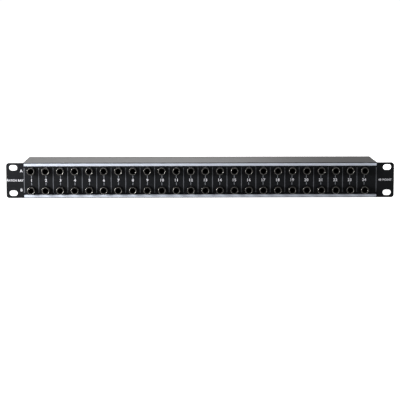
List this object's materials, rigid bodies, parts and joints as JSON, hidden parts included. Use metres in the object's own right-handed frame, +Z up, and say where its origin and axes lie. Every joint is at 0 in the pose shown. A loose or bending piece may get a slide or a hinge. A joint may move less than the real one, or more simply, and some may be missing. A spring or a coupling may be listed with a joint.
{
  "type": "audio patch bay",
  "caption": "A one-unit rack patch bay with two rows of quarter-inch jacks on the front and rear and a row of mode buttons on the rear",
  "frame": {"origin": "the centre of the four rack slots, on the back face of the front panel", "axes": "+X to the right seen from the front, +Y to the rear, +Z up"},
  "size_m": [0.4826, 0.0978, 0.0436],
  "materials": {
    "panel_paint": "fine satin black powder coat on steel",
    "cover_paint": "satin black paint on folded steel, paler at a grazing angle",
    "tray_zinc": "bare zinc-plated steel sheet",
    "strip_silver": "pale silver printed strip, satin",
    "screw_black": "black oxide screws",
    "fastener_zinc": "zinc-plated studs and nuts",
    "jack_plastic": "black glass-filled nylon",
    "nickel_plate": "bright nickel plate",
    "contact_bronze": "tinned phosphor bronze",
    "board_green": "green solder resist on glass-epoxy laminate",
    "switch_plastic": "black moulded polymer",
    "switch_steel": "plated spring steel",
    "button_plastic": "black moulded polymer, semi-gloss"
  },
  "bodies": {
    "case": {"channel_boards": "board_green", "chassis_tray": "tray_zinc", "clinch_nuts": "fastener_zinc", "cover_screws": "screw_black", "front_break_blades": "contact_bronze", "front_lower_ferrules": "nickel_plate", "front_lower_jack_bodies": "jack_plastic", "front_panel": "panel_paint", "front_ring_springs": "contact_bronze", "front_sleeve_lugs": "contact_bronze", "front_tip_springs": "contact_bronze", "front_upper_ferrules": "nickel_plate", "front_upper_jack_bodies": "jack_plastic", "lower_designation_strip": "strip_silver", "rear_break_blades": "contact_bronze", "rear_label_strip": "strip_silver", "rear_lower_ferrules": "nickel_plate", "rear_lower_jack_bodies": "jack_plastic", "rear_panel": "panel_paint", "rear_ring_springs": "contact_bronze", "rear_sleeve_lugs": "contact_bronze", "rear_tip_springs": "contact_bronze", "rear_upper_ferrules": "nickel_plate", "rear_upper_jack_bodies": "jack_plastic", "stud_nuts": "fastener_zinc", "switch_covers": "switch_steel", "switch_housings": "switch_plastic", "switch_springs": "switch_steel", "switch_terminals": "contact_bronze", "top_cover": "cover_paint", "upper_designation_strip": "strip_silver", "weld_studs": "fastener_zinc"},
    "button_01": {"push_button_01": "button_plastic"},
    "button_02": {"push_button_02": "button_plastic"},
    "button_03": {"push_button_03": "button_plastic"},
    "button_04": {"push_button_04": "button_plastic"},
    "button_05": {"push_button_05": "button_plastic"},
    "button_06": {"push_button_06": "button_plastic"},
    "button_07": {"push_button_07": "button_plastic"},
    "button_08": {"push_button_08": "button_plastic"},
    "button_09": {"push_button_09": "button_plastic"},
    "button_10": {"push_button_10": "button_plastic"},
    "button_11": {"push_button_11": "button_plastic"},
    "button_12": {"push_button_12": "button_plastic"},
    "button_13": {"push_button_13": "button_plastic"},
    "button_14": {"push_button_14": "button_plastic"},
    "button_15": {"push_button_15": "button_plastic"},
    "button_16": {"push_button_16": "button_plastic"},
    "button_17": {"push_button_17": "button_plastic"},
    "button_18": {"push_button_18": "button_plastic"},
    "button_19": {"push_button_19": "button_plastic"},
    "button_20": {"push_button_20": "button_plastic"},
    "button_21": {"push_button_21": "button_plastic"},
    "button_22": {"push_button_22": "button_plastic"},
    "button_23": {"push_button_23": "button_plastic"},
    "button_24": {"push_button_24": "button_plastic"}
  },
  "joints": [
    {"name": "button_01_press", "type": "slide", "parent": "case", "child": "button_01", "axis": [0, -1, 0], "range_m": [0, 0.0025], "stiffness_N_per_m": 600, "springref_m": -0.0015, "deforming": ["switch_springs"]},
    {"name": "button_02_press", "type": "slide", "parent": "case", "child": "button_02", "axis": [0, -1, 0], "range_m": [0, 0.0025], "stiffness_N_per_m": 600, "springref_m": -0.0015, "deforming": ["switch_springs"]},
    {"name": "button_03_press", "type": "slide", "parent": "case", "child": "button_03", "axis": [0, -1, 0], "range_m": [0, 0.0025], "stiffness_N_per_m": 600, "springref_m": -0.0015, "deforming": ["switch_springs"]},
    {"name": "button_04_press", "type": "slide", "parent": "case", "child": "button_04", "axis": [0, -1, 0], "range_m": [0, 0.0025], "stiffness_N_per_m": 600, "springref_m": -0.0015, "deforming": ["switch_springs"]},
    {"name": "button_05_press", "type": "slide", "parent": "case", "child": "button_05", "axis": [0, -1, 0], "range_m": [0, 0.0025], "stiffness_N_per_m": 600, "springref_m": -0.0015, "deforming": ["switch_springs"]},
    {"name": "button_06_press", "type": "slide", "parent": "case", "child": "button_06", "axis": [0, -1, 0], "range_m": [0, 0.0025], "stiffness_N_per_m": 600, "springref_m": -0.0015, "deforming": ["switch_springs"]},
    {"name": "button_07_press", "type": "slide", "parent": "case", "child": "button_07", "axis": [0, -1, 0], "range_m": [0, 0.0025], "stiffness_N_per_m": 600, "springref_m": -0.0015, "deforming": ["switch_springs"]},
    {"name": "button_08_press", "type": "slide", "parent": "case", "child": "button_08", "axis": [0, -1, 0], "range_m": [0, 0.0025], "stiffness_N_per_m": 600, "springref_m": -0.0015, "deforming": ["switch_springs"]},
    {"name": "button_09_press", "type": "slide", "parent": "case", "child": "button_09", "axis": [0, -1, 0], "range_m": [0, 0.0025], "stiffness_N_per_m": 600, "springref_m": -0.0015, "deforming": ["switch_springs"]},
    {"name": "button_10_press", "type": "slide", "parent": "case", "child": "button_10", "axis": [0, -1, 0], "range_m": [0, 0.0025], "stiffness_N_per_m": 600, "springref_m": -0.0015, "deforming": ["switch_springs"]},
    {"name": "button_11_press", "type": "slide", "parent": "case", "child": "button_11", "axis": [0, -1, 0], "range_m": [0, 0.0025], "stiffness_N_per_m": 600, "springref_m": -0.0015, "deforming": ["switch_springs"]},
    {"name": "button_12_press", "type": "slide", "parent": "case", "child": "button_12", "axis": [0, -1, 0], "range_m": [0, 0.0025], "stiffness_N_per_m": 600, "springref_m": -0.0015, "deforming": ["switch_springs"]},
    {"name": "button_13_press", "type": "slide", "parent": "case", "child": "button_13", "axis": [0, -1, 0], "range_m": [0, 0.0025], "stiffness_N_per_m": 600, "springref_m": -0.0015, "deforming": ["switch_springs"]},
    {"name": "button_14_press", "type": "slide", "parent": "case", "child": "button_14", "axis": [0, -1, 0], "range_m": [0, 0.0025], "stiffness_N_per_m": 600, "springref_m": -0.0015, "deforming": ["switch_springs"]},
    {"name": "button_15_press", "type": "slide", "parent": "case", "child": "button_15", "axis": [0, -1, 0], "range_m": [0, 0.0025], "stiffness_N_per_m": 600, "springref_m": -0.0015, "deforming": ["switch_springs"]},
    {"name": "button_16_press", "type": "slide", "parent": "case", "child": "button_16", "axis": [0, -1, 0], "range_m": [0, 0.0025], "stiffness_N_per_m": 600, "springref_m": -0.0015, "deforming": ["switch_springs"]},
    {"name": "button_17_press", "type": "slide", "parent": "case", "child": "button_17", "axis": [0, -1, 0], "range_m": [0, 0.0025], "stiffness_N_per_m": 600, "springref_m": -0.0015, "deforming": ["switch_springs"]},
    {"name": "button_18_press", "type": "slide", "parent": "case", "child": "button_18", "axis": [0, -1, 0], "range_m": [0, 0.0025], "stiffness_N_per_m": 600, "springref_m": -0.0015, "deforming": ["switch_springs"]},
    {"name": "button_19_press", "type": "slide", "parent": "case", "child": "button_19", "axis": [0, -1, 0], "range_m": [0, 0.0025], "stiffness_N_per_m": 600, "springref_m": -0.0015, "deforming": ["switch_springs"]},
    {"name": "button_20_press", "type": "slide", "parent": "case", "child": "button_20", "axis": [0, -1, 0], "range_m": [0, 0.0025], "stiffness_N_per_m": 600, "springref_m": -0.0015, "deforming": ["switch_springs"]},
    {"name": "button_21_press", "type": "slide", "parent": "case", "child": "button_21", "axis": [0, -1, 0], "range_m": [0, 0.0025], "stiffness_N_per_m": 600, "springref_m": -0.0015, "deforming": ["switch_springs"]},
    {"name": "button_22_press", "type": "slide", "parent": "case", "child": "button_22", "axis": [0, -1, 0], "range_m": [0, 0.0025], "stiffness_N_per_m": 600, "springref_m": -0.0015, "deforming": ["switch_springs"]},
    {"name": "button_23_press", "type": "slide", "parent": "case", "child": "button_23", "axis": [0, -1, 0], "range_m": [0, 0.0025], "stiffness_N_per_m": 600, "springref_m": -0.0015, "deforming": ["switch_springs"]},
    {"name": "button_24_press", "type": "slide", "parent": "case", "child": "button_24", "axis": [0, -1, 0], "range_m": [0, 0.0025], "stiffness_N_per_m": 600, "springref_m": -0.0015, "deforming": ["switch_springs"]}
  ]
}
